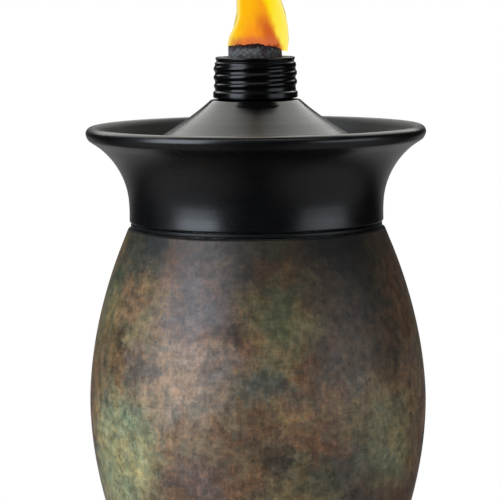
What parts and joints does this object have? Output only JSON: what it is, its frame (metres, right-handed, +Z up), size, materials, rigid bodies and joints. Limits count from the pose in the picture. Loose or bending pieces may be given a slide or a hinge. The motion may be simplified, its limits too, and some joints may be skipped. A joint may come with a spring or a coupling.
{
  "type": "tiki torch",
  "caption": "Tabletop garden torch: barrel jar in bronze patina, flared black collar, lift-out fuel canister with threaded neck, fibreglass wick and flame, on an iron stand.",
  "frame": {"origin": "on the ground under the torch's axis, at the bottom of the foot pads", "axes": "+Z up along the torch's axis; the shape is turned about it, so X and Y are free"},
  "size_m": [0.16, 0.16, 0.3475],
  "materials": {
    "black_steel": "satin black paint, with soft wide highlights",
    "neck_black": "glossy black paint",
    "patina": "faux bronze patina: rust, olive green and slate blotches with fine vertical streaks, semi-gloss",
    "iron": "fine-grained satin black casting",
    "zinc": "zinc plated",
    "tinplate": "bright tinned sheet",
    "rubber": "matte",
    "wick": "braided fibreglass, grey and charred at the top",
    "flame": "glowing orange and yellow"
  },
  "bodies": {
    "stand": {"stand_base": "iron", "stand_spigot": "zinc", "spigot_screw": "zinc", "foot_pad_1": "rubber", "foot_pad_2": "rubber", "foot_pad_3": "rubber", "foot_pad_4": "rubber"},
    "head": {"bottom_cap": "black_steel", "pole_socket": "zinc", "jar_gasket": "rubber", "jar": "patina", "collar_gasket": "rubber", "collar": "black_steel", "canister_cup": "tinplate", "tie_rod": "zinc", "tie_washer": "zinc", "tie_nut": "zinc", "tie_jam_nut": "zinc", "canister_pad_1": "rubber", "canister_pad_2": "rubber", "canister_pad_3": "rubber"},
    "canister": {"canister_body": "tinplate", "canister_bottom": "tinplate", "canister_cone": "black_steel", "canister_neck": "neck_black"},
    "holder": {"wick_holder": "neck_black"},
    "wick": {"wick": "wick", "flame": "flame"}
  },
  "joints": [
    {"name": "head_lift", "type": "slide", "parent": "stand", "child": "head", "axis": [0, 0, 1], "range_m": [0, 0.04]},
    {"name": "canister_lift", "type": "slide", "parent": "head", "child": "canister", "axis": [0, 0, 1], "range_m": [0, 0.11]},
    {"name": "wick_holder_lift", "type": "slide", "parent": "canister", "child": "holder", "axis": [0, 0, 1], "range_m": [0, 0.125]},
    {"name": "wick_raise", "type": "slide", "parent": "holder", "child": "wick", "axis": [0, 0, 1], "range_m": [-0.004, 0.012]}
  ]
}
